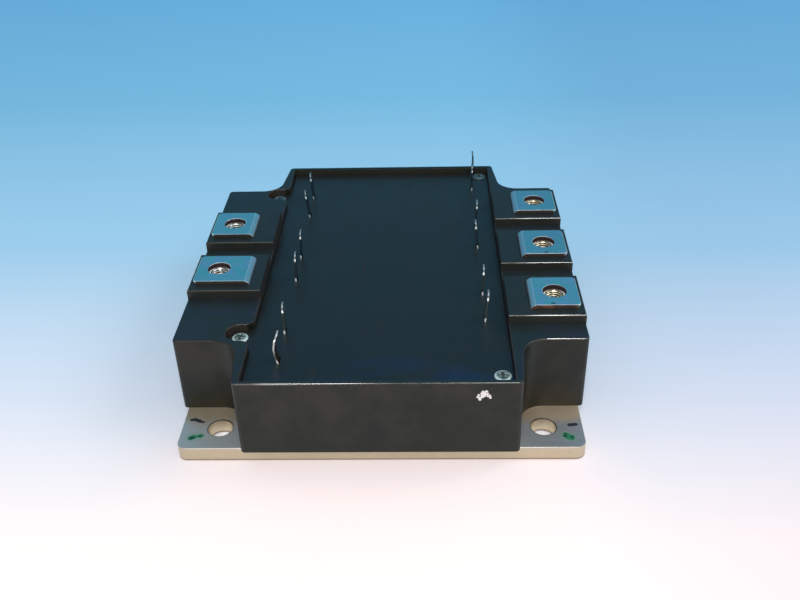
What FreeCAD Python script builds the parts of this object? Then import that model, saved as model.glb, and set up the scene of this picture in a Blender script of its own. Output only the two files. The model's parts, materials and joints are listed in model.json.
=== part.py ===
import FreeCAD, Part
import os

import Sketcher
from FreeCAD import Placement, Rotation, Vector

# Power module with six switches on a metal base plate, in millimetres.
# X runs across the module, Y from its front to its back, Z up from the underside of the base plate.

SIZES = {
    # Base plate
    "base_width": 107.0,
    "base_length": 122.0,
    "base_thick": 4.0,
    "base_corner": 2.6,
    "base_edge": 0.2,
    "mount_hole": 6.5,
    "mount_inset_x": 10.4,
    "mount_inset_y": 8.0,
    # Case frame, which overhangs the base plate, with its heights counted from the top of the plate
    "side_overhang": 1.35,
    "end_overhang": 1.6,
    "notch_width": 18.85,
    "notch_length": 18.3,
    "notch_draft": 1.9,
    "notch_radius": 6.4,
    "case_height": 22.5,
    "case_corner": 1.2,
    "case_edge": 0.5,
    "case_wall": 2.4,
    "pad_height": 2.7,
    "pad_length": 20.2,
    "pad_inset": 6.9,
    # Lid seat and the hollow under it
    "rim_side": 1.75,
    "rim_end": 1.4,
    "rim_edge": 0.4,
    "lid_drop": 2.1,
    "ledge_width": 2.0,
    "ledge_thick": 2.1,
    "bay_side_wall": 5.35,
    "bay_end_room": 3.3,
    # Lid
    "lid_thick": 2.3,
    "lid_gap": 0.15,
    "ear_radius": 3.5,
    "ear_blend": 2.5,
    "ear_reach": 1.5,
    "ear_front_inset": 4.0,
    "ear_back_inset": 2.7,
    # Lid screws
    "screw_inset_x": 2.95,
    "screw_inset_y": 3.7,
    "screw_head": 4.3,
    "screw_head_height": 0.8,
    "screw_shank": 2.2,
    "screw_length": 8.0,
    "screw_gap": 0.1,
    "cross_width": 0.7,
    "cross_length": 2.5,
    "cross_depth": 0.6,
    "boss_wall": 1.25,
    # Main terminals, each with an arm from its screw's axis to its bend
    "terminal_inset": 7.5,
    "terminal_setback": 1.15,
    "terminal_width": 14.0,
    "terminal_thick": 1.2,
    "terminal_hole": 6.5,
    "terminal_corner": 1.2,
    "output_arm": 7.25,
    "supply_front_arm": 9.9,
    "supply_back_arm": 6.85,
    "bend_radius": 0.8,
    "slot_gap": 0.12,
    "foot_width": 6.0,
    "foot_lap": 2.0,
    # Captive nuts
    "nut_flats": 8.0,
    "nut_height": 4.0,
    "nut_bore": 4.2,
    "nut_chamfer": 0.45,
    "nut_gap": 0.15,
    "relief_bore": 5.6,
    "relief_depth": 6.0,
    # Signal tabs
    "tab_thick": 0.5,
    "tab_width": 2.8,
    "tab_height": 9.0,
    "tab_tip": 0.7,
    "tab_left_inset": 8.35,
    "tab_right_inset": 5.95,
    "tab_left_front": 11.0,
    "tab_left_back": 18.1,
    "tab_right_front": 29.4,
    "tab_last_back": 2.1,
    "tab_pair_pitch": 13.3,
    "tab_gap": 0.15,
    "stem_width": 1.0,
    "stem_foot": 2.1,
    # Substrates and chips
    "substrate_side_gap": 3.65,
    "substrate_end_gap": 0.3,
    "substrate_gap": 1.0,
    "copper_thick": 0.3,
    "copper_margin": 0.9,
    "ceramic_thick": 0.6,
    "track_width": 4.6,
    "track_gap": 1.2,
    "chip_thick": 0.4,
    "switch_size": 12.0,
    "switch_y": 7.0,
    "diode_size": 8.5,
    "diode_y": -7.5,
    # Bond wires and gel
    "wire_thick": 0.4,
    "wire_pitch": 2.4,
    "wire_rise": 2.6,
    "gel_height": 9.0,
}

# Sideways lean and bow of each signal tab above the lid, front to back
LEFT_TABS = ((0.5, -1.0), (0.1, 0.0), (0.4, 0.0), (0.5, 0.0), (-0.9, 0.0), (-0.6, 0.0))
RIGHT_TABS = ((0.7, 0.0), (0.2, 0.0), (-0.8, 0.0), (0.3, 0.0), (0.0, 0.0), (0.6, 0.5))

doc = FreeCAD.newDocument("PowerModule")
sheet = doc.addObject("Spreadsheet::Sheet", "Sizes")
for row, (alias, value) in enumerate(SIZES.items(), 1):
    sheet.set("A%d" % row, alias)
    sheet.set("B%d" % row, str(value))
    sheet.setAlias("B%d" % row, alias)
probe = doc.addObject("App::FeaturePython", "Probe")
doc.recompute()

# Heights and half sizes that several pieces share, as formulas on the sheet
LID_TOP = "(Sizes.case_height - Sizes.lid_drop)"
LID_SEAT = "(Sizes.case_height - Sizes.lid_drop - Sizes.lid_thick)"
BAY_ROOF = "(Sizes.case_height - Sizes.lid_drop - Sizes.lid_thick - Sizes.ledge_thick)"
PAD_TOP = "(Sizes.case_height + Sizes.pad_height)"
SUBSTRATE_TOP = "(2 * Sizes.copper_thick + Sizes.ceramic_thick)"
SHOULDER_X = "(Sizes.base_width / 2 + Sizes.side_overhang)"
BLOCK_Y = "(Sizes.base_length / 2 + Sizes.end_overhang)"
BLOCK_X = "(%s - Sizes.notch_width)" % SHOULDER_X
SHOULDER_Y = "(%s - Sizes.notch_length)" % BLOCK_Y
RECESS_X = "(%s - Sizes.rim_side)" % BLOCK_X
RECESS_Y = "(%s - Sizes.rim_end)" % BLOCK_Y
CHAMBER_X = "(%s - Sizes.ledge_width)" % RECESS_X
CHAMBER_Y = "(%s - Sizes.ledge_width)" % RECESS_Y

# Places of the main terminals, their nuts and the bays for their legs
TERMINAL_X = "(%s - Sizes.terminal_inset)" % SHOULDER_X
PITCH = "(%s - Sizes.pad_inset - Sizes.pad_length / 2)" % SHOULDER_Y
BAY_X = "(%s - Sizes.bay_side_wall)" % TERMINAL_X
BAY_Y = "(%s + Sizes.terminal_width / 2 + Sizes.bay_end_room)" % PITCH
NUT_CORNER = "(Sizes.nut_flats / sqrt(3))"
WELL_CORNER = "((Sizes.nut_flats + 2 * Sizes.nut_gap) / sqrt(3))"
WELL_FLOOR = "(%s - Sizes.nut_height)" % PAD_TOP

# Places of the lid's ears and screws
EAR_POCKET = "(Sizes.ear_radius + Sizes.lid_gap)"
EAR_X = "(%s + Sizes.ear_reach)" % BLOCK_X
EAR_FRONT_Y = "(%s - Sizes.ear_front_inset)" % SHOULDER_Y
EAR_BACK_Y = "(%s - Sizes.ear_back_inset)" % SHOULDER_Y
SCREW_X = "(%s - Sizes.screw_inset_x)" % RECESS_X
SCREW_Y = "(%s - Sizes.screw_inset_y)" % RECESS_Y

# Places of the tiles, with a track along each side, and of the chips on them
TILE_X = "(%s - Sizes.substrate_side_gap)" % CHAMBER_X
TILE_Y = "((%s - Sizes.substrate_end_gap - Sizes.substrate_gap) / 3)" % CHAMBER_Y
TILE_PITCH = "(2 * %s + Sizes.substrate_gap)" % TILE_Y
LAND_X = "(%s - Sizes.track_width - Sizes.track_gap)" % TILE_X
CHIP_X = "((%s + Sizes.track_gap / 2) / 2)" % LAND_X

# Name, side of the module, place along it and arm of each main terminal
TERMINALS = (
    ("supply_terminal_front", -1, "-%s / 2" % PITCH, "Sizes.supply_front_arm"),
    ("supply_terminal_back", -1, "%s / 2" % PITCH, "Sizes.supply_back_arm"),
    ("output_terminal_front", 1, "-" + PITCH, "Sizes.output_arm"),
    ("output_terminal_middle", 1, "0 * " + PITCH, "Sizes.output_arm"),
    ("output_terminal_back", 1, PITCH, "Sizes.output_arm"),
)

# Name and place of each lid screw
LID_SCREWS = (
    ("lid_screw_front_left", "-" + EAR_X, "-" + EAR_FRONT_Y),
    ("lid_screw_back_left", "-" + EAR_X, EAR_BACK_Y),
    ("lid_screw_front_right", SCREW_X, "-" + SCREW_Y),
    ("lid_screw_back_right", SCREW_X, SCREW_Y),
)


def tab_places():
    """Name, side, X, Y, lean and bow of each signal tab. They stand in pairs, but for the last right one."""
    ends = "(Sizes.tab_left_front + Sizes.tab_left_back + Sizes.tab_pair_pitch)"
    group = "(%s - %s / 2)" % (RECESS_Y, ends)
    left_x = "-(%s - Sizes.tab_left_inset)" % RECESS_X
    right_x = "(%s - Sizes.tab_right_inset)" % RECESS_X
    places = []
    for index, (lean, bow) in enumerate(LEFT_TABS):
        run = "%d * %s + %d * Sizes.tab_pair_pitch" % (index // 2, group, index % 2)
        y = "%s + Sizes.tab_left_front - %s" % (run, RECESS_Y)
        places.append(("signal_tab_left_%d" % (index + 1), -1, left_x, y, lean, bow))
    for index, (lean, bow) in enumerate(RIGHT_TABS):
        run = "%d * %s + %d * Sizes.tab_pair_pitch" % (index // 2, group, index % 2)
        y = "%s + Sizes.tab_right_front - %s" % (run, RECESS_Y)
        if index == len(RIGHT_TABS) - 1:
            y = "%s - Sizes.tab_last_back" % RECESS_Y
        places.append(("signal_tab_right_%d" % (index + 1), 1, right_x, y, lean, bow))
    return places


def number(formula):
    """Value of a formula on the sheet."""
    return float(probe.evalExpression(str(formula)))


def new_body(label, x="0", y="0", z="0", turned=False):
    """Body with its own label, placed by formulas."""
    body = doc.addObject("PartDesign::Body", label)
    body.Label = label
    if turned:
        body.Placement = Placement(Vector(0, 0, 0), Rotation(Vector(0, 0, 1), 180))
    body.setExpression("Placement.Base.x", x)
    body.setExpression("Placement.Base.y", y)
    body.setExpression("Placement.Base.z", z)
    return body


def new_sketch(body, plane="XY_Plane", offset=None):
    """Sketch on one of the body's origin planes, moved along the plane's normal."""
    sketch = body.newObject("Sketcher::SketchObject", body.Label + "_sketch")
    support = [item for item in body.Origin.OriginFeatures if item.Role == plane][0]
    sketch.AttachmentSupport = [(support, "")]
    sketch.MapMode = "FlatFace"
    if offset:
        sketch.setExpression("AttachmentOffset.Base.z", offset)
    return sketch


def pin(sketch, geometry, point, x, y):
    """Hold one point of a sketch at two formulas."""
    for kind, formula in (("DistanceX", x), ("DistanceY", y)):
        constraint = Sketcher.Constraint(kind, -1, 1, geometry, point, number(formula))
        index = sketch.addConstraint(constraint)
        sketch.setExpression("Constraints[%d]" % index, str(formula))


def outline(sketch, corners):
    """Closed outline with straight sides through corners given as formulas."""
    points = [Vector(number(x), number(y), 0) for x, y in corners]
    first = sketch.GeometryCount
    count = len(points)
    for index in range(count):
        sketch.addGeometry(Part.LineSegment(points[index], points[(index + 1) % count]))
    for index in range(count):
        following = first + (index + 1) % count
        sketch.addConstraint(Sketcher.Constraint("Coincident", first + index, 2, following, 1))
    for index, (x, y) in enumerate(corners):
        pin(sketch, first + index, 1, x, y)


def rectangle(sketch, left, right, front, back):
    """Rectangle between four formulas."""
    outline(sketch, ((left, front), (right, front), (right, back), (left, back)))


def centred(sketch, x, y, half_x, half_y):
    """Rectangle about a centre."""
    rectangle(
        sketch,
        "%s - (%s)" % (x, half_x),
        "%s + (%s)" % (x, half_x),
        "%s - (%s)" % (y, half_y),
        "%s + (%s)" % (y, half_y),
    )


def circle(sketch, x, y, diameter):
    """Circle held at two formulas, with a diameter."""
    centre = Vector(number(x), number(y), 0)
    index = sketch.addGeometry(Part.Circle(centre, Vector(0, 0, 1), number(diameter) / 2))
    constraint = sketch.addConstraint(Sketcher.Constraint("Diameter", index, number(diameter)))
    sketch.setExpression("Constraints[%d]" % constraint, str(diameter))
    pin(sketch, index, 3, x, y)


def pad(body, sketch, length, symmetric=False):
    """Material along the sketch's normal."""
    feature = body.newObject("PartDesign::Pad", body.Label + "_pad")
    feature.Profile = sketch
    feature.setExpression("Length", length)
    if symmetric:
        feature.SideType = "Symmetric"
    doc.recompute()
    return feature


def pocket(body, sketch, length=None, upwards=False, symmetric=False):
    """Cut below the sketch, above it, to both sides, or through all where no length is given."""
    before = body.Shape.Volume
    feature = body.newObject("PartDesign::Pocket", body.Label + "_pocket")
    feature.Profile = sketch
    feature.Reversed = upwards
    if symmetric:
        feature.SideType = "Symmetric"
    if length:
        feature.setExpression("Length", length)
    else:
        feature.Type = "ThroughAll"
    doc.recompute()
    if body.Shape.Volume >= before - 1e-6:
        raise RuntimeError("%s cuts nothing" % feature.Name)
    return feature


def edges_where(shape, test):
    """Names of the edges that pass a test."""
    return ["Edge%d" % index for index, edge in enumerate(shape.Edges, 1) if test(edge)]


def round_edges(body, test, radius):
    """Fillet on the edges that pass a test."""
    base = body.Tip
    feature = body.newObject("PartDesign::Fillet", body.Label + "_fillet")
    feature.Base = (base, edges_where(base.Shape, test))
    feature.setExpression("Radius", radius)
    doc.recompute()
    return feature


def bevel_edges(body, test, size):
    """Chamfer on the edges that pass a test."""
    base = body.Tip
    feature = body.newObject("PartDesign::Chamfer", body.Label + "_chamfer")
    feature.Base = (base, edges_where(base.Shape, test))
    feature.setExpression("Size", size)
    doc.recompute()
    return feature


def along(edge, axis):
    """Whether an edge is straight and runs along an axis."""
    if edge.Curve.TypeId != "Part::GeomLine":
        return False
    return abs(abs(edge.tangentAt(edge.FirstParameter).dot(axis)) - 1) < 1e-6


def upright_at(x, y):
    """Test for an upright edge at +x or -x and +y or -y."""

    def test(edge):
        place = edge.CenterOfMass
        at_x = abs(abs(place.x) - number(x)) < 1e-3
        at_y = abs(abs(place.y) - number(y)) < 1e-3
        return along(edge, Vector(0, 0, 1)) and at_x and at_y

    return test


def level_edge(height):
    """Test for an edge that lies flat at a height."""

    def test(edge):
        box = edge.BoundBox
        return abs(box.ZMin - number(height)) < 1e-3 and abs(box.ZMax - number(height)) < 1e-3

    return test


def wall_top(shape, foot, top):
    """Test for a level edge along the top of a wall that stands at a height."""
    walls = [face for face in shape.Faces if abs(face.BoundBox.ZMin - number(foot)) < 1e-3]
    level = level_edge(top)

    def test(edge):
        return level(edge) and any(edge.isSame(side) for wall in walls for side in wall.Edges)

    return test


def build_base_plate():
    """Nickel-plated plate with a screw hole in each corner."""
    body = new_body("base_plate")
    plate = new_sketch(body)
    centred(plate, "0", "0", "Sizes.base_width / 2", "Sizes.base_length / 2")
    pad(body, plate, "Sizes.base_thick")
    corner = upright_at("Sizes.base_width / 2", "Sizes.base_length / 2")
    round_edges(body, corner, "Sizes.base_corner")
    round_edges(body, level_edge("Sizes.base_thick"), "Sizes.base_edge")
    holes = new_sketch(body, offset="Sizes.base_thick")
    for side_x in ("-", ""):
        for side_y in ("-", ""):
            x = side_x + "(Sizes.base_width / 2 - Sizes.mount_inset_x)"
            y = side_y + "(Sizes.base_length / 2 - Sizes.mount_inset_y)"
            circle(holes, x, y, "Sizes.mount_hole")
    pocket(body, holes)
    return body


def terminal_axis(side):
    """X of the screw axis on one side of the module."""
    return "%d * %s" % (side, TERMINAL_X)


def build_case_frame():
    """Moulded frame: shoulders with terminal pads, cut-out corners, lid seat, hollow and nut wells."""
    body = new_body("case_frame", z="Sizes.base_thick")
    shoulders = new_sketch(body)
    centred(shoulders, "0", "0", SHOULDER_X, SHOULDER_Y)
    pad(body, shoulders, "Sizes.case_height")
    block = new_sketch(body)
    waist = "(%s + Sizes.notch_draft)" % BLOCK_X
    right = ((BLOCK_X, "-" + BLOCK_Y), (waist, "-" + SHOULDER_Y), (waist, SHOULDER_Y), (BLOCK_X, BLOCK_Y))
    outline(block, right + tuple(("-" + x, y) for x, y in right[::-1]))
    pad(body, block, "Sizes.case_height")
    round_edges(body, upright_at(waist, SHOULDER_Y), "Sizes.notch_radius")
    end = upright_at(BLOCK_X, BLOCK_Y)
    side = upright_at(SHOULDER_X, SHOULDER_Y)
    round_edges(body, lambda edge: end(edge) or side(edge), "Sizes.case_corner")
    round_edges(body, level_edge("Sizes.case_height"), "Sizes.case_edge")
    add_terminal_pads(body)
    cut_lid_seat(body)
    cut_hollow(body)
    cut_terminal_places(body)
    cut_screw_holes(body)
    return body


def add_terminal_pads(body):
    """Raised pads that carry the main terminals, with a rounded top edge."""
    pads = new_sketch(body, offset="Sizes.case_height - Sizes.case_edge")
    for _name, side, y, _arm in TERMINALS:
        inner = "%d * %s" % (side, CHAMBER_X)
        outer = "%d * %s" % (side, SHOULDER_X)
        left, right = (outer, inner) if side < 0 else (inner, outer)
        rectangle(
            pads, left, right, "%s - Sizes.pad_length / 2" % y, "%s + Sizes.pad_length / 2" % y
        )
    pad(body, pads, "Sizes.pad_height + Sizes.case_edge")
    round_edges(body, level_edge(PAD_TOP), "Sizes.case_edge")


def cut_lid_seat(body):
    """Sunken seat of the lid, with a round pocket for each ear and a rounded rim."""
    seat = new_sketch(body, offset=PAD_TOP)
    centred(seat, "0", "0", RECESS_X, RECESS_Y)
    pocket(body, seat, "%s - %s" % (PAD_TOP, LID_SEAT))
    ears = new_sketch(body, offset="Sizes.case_height")
    necks = new_sketch(body, offset="Sizes.case_height")
    for y in ("-" + EAR_FRONT_Y, EAR_BACK_Y):
        front = "%s - %s" % (y, EAR_POCKET)
        back = "%s + %s" % (y, EAR_POCKET)
        circle(ears, "-" + EAR_X, y, "2 * %s" % EAR_POCKET)
        rectangle(necks, "-" + EAR_X, "-" + CHAMBER_X, front, back)
    depth = "Sizes.lid_drop + Sizes.lid_thick"
    pocket(body, ears, depth)
    pocket(body, necks, depth)
    round_edges(body, neck_corner(RECESS_X, EAR_POCKET), "Sizes.ear_blend")
    rim = wall_top(body.Tip.Shape, LID_SEAT, "Sizes.case_height")
    round_edges(body, rim, "Sizes.rim_edge")


def neck_corner(x, reach):
    """Test for the upright edges where the two ears meet the side of the lid or of its seat."""
    sides = ["%s %s %s" % (y, sign, reach) for y in (EAR_FRONT_Y, EAR_BACK_Y) for sign in "+-"]
    corners = [upright_at(x, y) for y in sides]
    return lambda edge: any(corner(edge) for corner in corners)


def cut_hollow(body):
    """Chamber for the circuit, side bays for the terminal legs, and cells under the shoulders."""
    chamber = new_sketch(body)
    centred(chamber, "0", "0", CHAMBER_X, CHAMBER_Y)
    pocket(body, chamber, LID_SEAT, upwards=True)
    bosses = new_sketch(body)
    for side in ("-", ""):
        diameter = "Sizes.screw_shank + 2 * (Sizes.screw_gap + Sizes.boss_wall)"
        circle(bosses, SCREW_X, side + SCREW_Y, diameter)
    pad(body, bosses, LID_SEAT)
    bays = new_sketch(body)
    centred(bays, "0", "0", BAY_X, BAY_Y)
    pocket(body, bays, BAY_ROOF, upwards=True)
    cells = new_sketch(body)
    near = "(%s + Sizes.case_wall)" % BAY_X
    far = "(%s - Sizes.case_wall)" % SHOULDER_X
    margin = "(%s + Sizes.case_wall)" % WELL_CORNER
    end = "(%s - Sizes.case_wall)" % SHOULDER_Y
    right = ("-%s" % end, "-" + PITCH, "0", PITCH, end)
    left = ("-%s" % end, "-%s / 2" % PITCH, "%s / 2" % PITCH, end)
    for side, stations in ((-1, left), (1, right)):
        inner = "%d * %s" % (side, near)
        outer = "%d * %s" % (side, far)
        low, high = (outer, inner) if side < 0 else (inner, outer)
        last = len(stations) - 2
        for index in range(last + 1):
            front = stations[index] if index == 0 else "%s + %s" % (stations[index], margin)
            back = stations[index + 1] if index == last else "%s - %s" % (stations[index + 1], margin)
            rectangle(cells, low, high, front, back)
    pocket(body, cells, BAY_ROOF, upwards=True)


def cut_terminal_places(body):
    """Leg slot, nut well and screw relief under each main terminal."""
    slots = new_sketch(body, offset=PAD_TOP)
    reliefs = new_sketch(body, offset=WELL_FLOOR)
    for _name, side, y, arm in TERMINALS:
        inner = "%d * (%s - %s - Sizes.slot_gap)" % (side, TERMINAL_X, arm)
        outer = "%d * (%s - %s + Sizes.terminal_thick + Sizes.bend_radius)" % (side, TERMINAL_X, arm)
        low, high = (outer, inner) if side < 0 else (inner, outer)
        half = "Sizes.terminal_width / 2 + Sizes.slot_gap"
        rectangle(slots, low, high, "%s - (%s)" % (y, half), "%s + %s" % (y, half))
        circle(reliefs, terminal_axis(side), y, "Sizes.relief_bore")
    pocket(body, slots, "%s - %s" % (PAD_TOP, BAY_ROOF))
    for _name, side, y, _arm in TERMINALS:
        well = body.newObject("PartDesign::SubtractivePrism", "nut_well")
        well.Polygon = 6
        well.setExpression("Circumradius", WELL_CORNER)
        well.setExpression("Height", "Sizes.nut_height")
        well.Placement = Placement(Vector(0, 0, 0), Rotation(Vector(0, 0, 1), 30))
        well.setExpression("Placement.Base.x", terminal_axis(side))
        well.setExpression("Placement.Base.y", y)
        well.setExpression("Placement.Base.z", WELL_FLOOR)
    pocket(body, reliefs, "Sizes.relief_depth")


def cut_screw_holes(body):
    """Pilot holes of the lid screws in the ledge and its bosses."""
    pilots = new_sketch(body, offset=LID_SEAT)
    for _name, x, y in LID_SCREWS:
        circle(pilots, x, y, "Sizes.screw_shank + 2 * Sizes.screw_gap")
    pocket(body, pilots, "Sizes.screw_length - Sizes.lid_thick + Sizes.screw_gap")


def build_lid_cover():
    """Flat lid with two ears, screw holes and a slit for each signal tab."""
    body = new_body("lid_cover", z="Sizes.base_thick + " + LID_SEAT)
    plate = new_sketch(body)
    centred(plate, "0", "0", "%s - Sizes.lid_gap" % RECESS_X, "%s - Sizes.lid_gap" % RECESS_Y)
    pad(body, plate, "Sizes.lid_thick")
    ears = new_sketch(body)
    necks = new_sketch(body)
    for y in ("-" + EAR_FRONT_Y, EAR_BACK_Y):
        circle(ears, "-" + EAR_X, y, "2 * Sizes.ear_radius")
        rectangle(
            necks,
            "-" + EAR_X,
            "-" + CHAMBER_X,
            "%s - Sizes.ear_radius" % y,
            "%s + Sizes.ear_radius" % y,
        )
    pad(body, necks, "Sizes.lid_thick")
    pad(body, ears, "Sizes.lid_thick")
    corner = neck_corner("%s - Sizes.lid_gap" % RECESS_X, "Sizes.ear_radius")
    round_edges(body, corner, "Sizes.ear_blend + Sizes.lid_gap")
    holes = new_sketch(body, offset="Sizes.lid_thick")
    for _name, x, y in LID_SCREWS:
        circle(holes, x, y, "Sizes.screw_shank + 2 * Sizes.screw_gap")
    pocket(body, holes)
    slits = new_sketch(body, offset="Sizes.lid_thick")
    for _name, _side, x, y, _lean, _bow in tab_places():
        half_x = "Sizes.tab_thick / 2 + Sizes.tab_gap"
        half_y = "Sizes.tab_width / 2 + Sizes.tab_gap"
        centred(slits, x, y, half_x, half_y)
    pocket(body, slits)
    return body


def build_terminal(name, side, y, arm):
    """Strip terminal: a plate with a screw hole, bent down into the case, and a narrow foot."""
    body = new_body(
        name, terminal_axis(side), y, "Sizes.base_thick + " + PAD_TOP, turned=side < 0
    )
    outer = "(Sizes.terminal_inset - Sizes.terminal_setback)"
    inner = "(-%s)" % arm
    inner_face = "(%s + Sizes.terminal_thick)" % inner
    leg_end = "-(%s - %s)" % (PAD_TOP, BAY_ROOF)
    foot_seat = "-(%s - %s)" % (PAD_TOP, SUBSTRATE_TOP)
    foot_tip = "(%s - Sizes.foot_lap - %s)" % (TILE_X, TERMINAL_X)
    strip = new_sketch(body, "XZ_Plane")
    outline(
        strip,
        (
            (outer, "Sizes.terminal_thick"),
            (inner, "Sizes.terminal_thick"),
            (inner, leg_end),
            (inner_face, leg_end),
            (inner_face, "0"),
            (outer, "0"),
        ),
    )
    pad(body, strip, "Sizes.terminal_width", symmetric=True)
    across = Vector(0, 1, 0)

    def bend_line(x, z):
        """Test for the fold line at one point of the strip's section."""

        def test(edge):
            place = edge.CenterOfMass
            at_place = abs(place.x - number(x)) < 1e-3 and abs(place.z - number(z)) < 1e-3
            return along(edge, across) and at_place

        return test

    round_edges(
        body, bend_line(inner, "Sizes.terminal_thick"), "Sizes.bend_radius + Sizes.terminal_thick"
    )
    round_edges(body, bend_line(inner_face, "0"), "Sizes.bend_radius")
    outer_edges = upright_at(outer, "Sizes.terminal_width / 2")
    round_edges(body, outer_edges, "Sizes.terminal_corner")
    foot = new_sketch(body, "XZ_Plane")
    foot_top = "(%s + Sizes.terminal_thick)" % foot_seat
    outline(
        foot,
        (
            (inner, leg_end),
            (inner, foot_top),
            (foot_tip, foot_top),
            (foot_tip, foot_seat),
            (inner_face, foot_seat),
            (inner_face, leg_end),
        ),
    )
    pad(body, foot, "Sizes.foot_width", symmetric=True)
    round_edges(body, bend_line(inner, foot_top), "Sizes.bend_radius")
    round_edges(
        body, bend_line(inner_face, foot_seat), "Sizes.bend_radius + Sizes.terminal_thick"
    )
    hole = new_sketch(body, offset="Sizes.terminal_thick")
    circle(hole, "0", "0", "Sizes.terminal_hole")
    pocket(body, hole, "Sizes.terminal_thick")
    return body


def build_captive_nut(name, side, y):
    """Hexagon nut that lies in its well under a terminal."""
    body = new_body(name, terminal_axis(side), y, "Sizes.base_thick + " + WELL_FLOOR)
    prism = body.newObject("PartDesign::AdditivePrism", name + "_prism")
    prism.Polygon = 6
    prism.setExpression("Circumradius", NUT_CORNER)
    prism.setExpression("Height", "Sizes.nut_height")
    prism.Placement = Placement(Vector(0, 0, 0), Rotation(Vector(0, 0, 1), 30))
    doc.recompute()
    bore = new_sketch(body, offset="Sizes.nut_height")
    circle(bore, "0", "0", "Sizes.nut_bore")
    pocket(body, bore)
    bevel_edges(body, lambda edge: edge.Curve.TypeId == "Part::GeomCircle", "Sizes.nut_chamfer")
    return body


def build_signal_tab(name, side, x, y, lean, bow):
    """Flat tab through the lid, on a narrow stem with a foot on the substrate."""
    body = new_body(name, x, y, "Sizes.base_thick + " + LID_TOP)
    half = "Sizes.tab_thick / 2"
    steps = 4 if bow else 1
    rise = [index / steps for index in range(steps + 1)]

    def shift(part):
        """Sideways place of the tab's middle line at a share of its height."""
        return lean * part + 4 * bow * part * (1 - part)

    left = [("%g - %s" % (shift(part), half), "%g * Sizes.tab_height" % part) for part in rise]
    right = [("%g + %s" % (shift(part), half), "%g * Sizes.tab_height" % part) for part in rise]
    blade = new_sketch(body, "XZ_Plane")
    below = [("-" + half, "-Sizes.lid_thick"), (half, "-Sizes.lid_thick")]
    outline(blade, below + right + left[::-1])
    pad(body, blade, "Sizes.tab_width", symmetric=True)
    top = number("Sizes.tab_height")

    def tip_edge(edge):
        place = edge.CenterOfMass
        at_side = abs(abs(place.y) - number("Sizes.tab_width / 2")) < 1e-3
        return abs(place.z - top) < 1e-3 and at_side

    bevel_edges(body, tip_edge, "Sizes.tab_tip")
    seat = "-(%s - %s)" % (LID_TOP, SUBSTRATE_TOP)
    foot_top = "%s + Sizes.tab_thick" % seat
    near = "%d * %s" % (-side, half)
    far = "%d * %s" % (side, half)
    toe = "%d * (Sizes.stem_foot - %s)" % (-side, half)
    stem = new_sketch(body, "XZ_Plane", offset="(Sizes.tab_width - Sizes.stem_width) / 2")
    outline(
        stem,
        (
            (far, "-Sizes.lid_thick"),
            (far, seat),
            (toe, seat),
            (toe, foot_top),
            (near, foot_top),
            (near, "-Sizes.lid_thick"),
        ),
    )
    pad(body, stem, "Sizes.stem_width", symmetric=True)
    return body


def build_lid_screw(name, x, y):
    """Flat-topped screw with a cross recess."""
    body = new_body(name, x, y, "Sizes.base_thick + " + LID_TOP)
    profile = new_sketch(body, "XZ_Plane")
    head = "Sizes.screw_head / 2"
    shank = "Sizes.screw_shank / 2"
    outline(
        profile,
        (
            ("0", "-Sizes.screw_length"),
            ("%s / 2" % shank, "-Sizes.screw_length"),
            (shank, "%s - Sizes.screw_length" % shank),
            (shank, "0"),
            (head, "0"),
            (head, "0.65 * Sizes.screw_head_height"),
            ("0.9 * " + head, "Sizes.screw_head_height"),
            ("0", "Sizes.screw_head_height"),
        ),
    )
    turned = body.newObject("PartDesign::Revolution", name + "_turned")
    turned.Profile = profile
    turned.ReferenceAxis = (profile, ["V_Axis"])
    turned.Angle = 360
    doc.recompute()
    reach = "Sizes.cross_length / 2"
    slit = "Sizes.cross_width / 2"
    for half_x, half_y in ((reach, slit), (slit, reach)):
        cross = new_sketch(body, offset="Sizes.screw_head_height")
        centred(cross, "0", "0", half_x, half_y)
        pocket(body, cross, "Sizes.cross_depth")
    return body


def build_substrate(name, y):
    """Copper-clad ceramic tile with a track down each side and a land for each pair of chips."""
    body = new_body(name, y=y, z="Sizes.base_thick")
    underside = new_sketch(body)
    centred(
        underside, "0", "0", "%s - Sizes.copper_margin" % TILE_X, "%s - Sizes.copper_margin" % TILE_Y
    )
    pad(body, underside, "Sizes.copper_thick")
    tile = new_sketch(body, offset="Sizes.copper_thick")
    centred(tile, "0", "0", TILE_X, TILE_Y)
    pad(body, tile, "Sizes.ceramic_thick")
    lands = new_sketch(body, offset="Sizes.copper_thick + Sizes.ceramic_thick")
    for side in (-1, 1):
        for near, far in (("Sizes.track_gap / 2", LAND_X), ("%s + Sizes.track_gap" % LAND_X, TILE_X)):
            low = "%d * (%s)" % (side, far if side < 0 else near)
            high = "%d * (%s)" % (side, near if side < 0 else far)
            rectangle(lands, low, high, "-" + TILE_Y, TILE_Y)
    pad(body, lands, "Sizes.copper_thick")
    return body


def build_chip(name, x, y, size):
    """Square silicon chip on a substrate."""
    body = new_body(name, x, y, "Sizes.base_thick + " + SUBSTRATE_TOP)
    face = new_sketch(body)
    centred(face, "0", "0", size + " / 2", size + " / 2")
    pad(body, face, "Sizes.chip_thick")
    return body


def substrate_place(index):
    """Y of a substrate's middle."""
    return "%d * %s" % (index - 1, TILE_PITCH)


def build_chips():
    """Two switches and two diodes on each substrate."""
    chips = []
    for tile in range(3):
        for side in (-1, 1):
            count = 2 * tile + (side + 3) // 2
            x = "%d * %s" % (side, CHIP_X)
            for kind in ("switch", "diode"):
                y = "%s + Sizes.%s_y" % (substrate_place(tile), kind)
                chips.append(build_chip("%s_chip_%d" % (kind, count), x, y, "Sizes.%s_size" % kind))
    return chips


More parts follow.
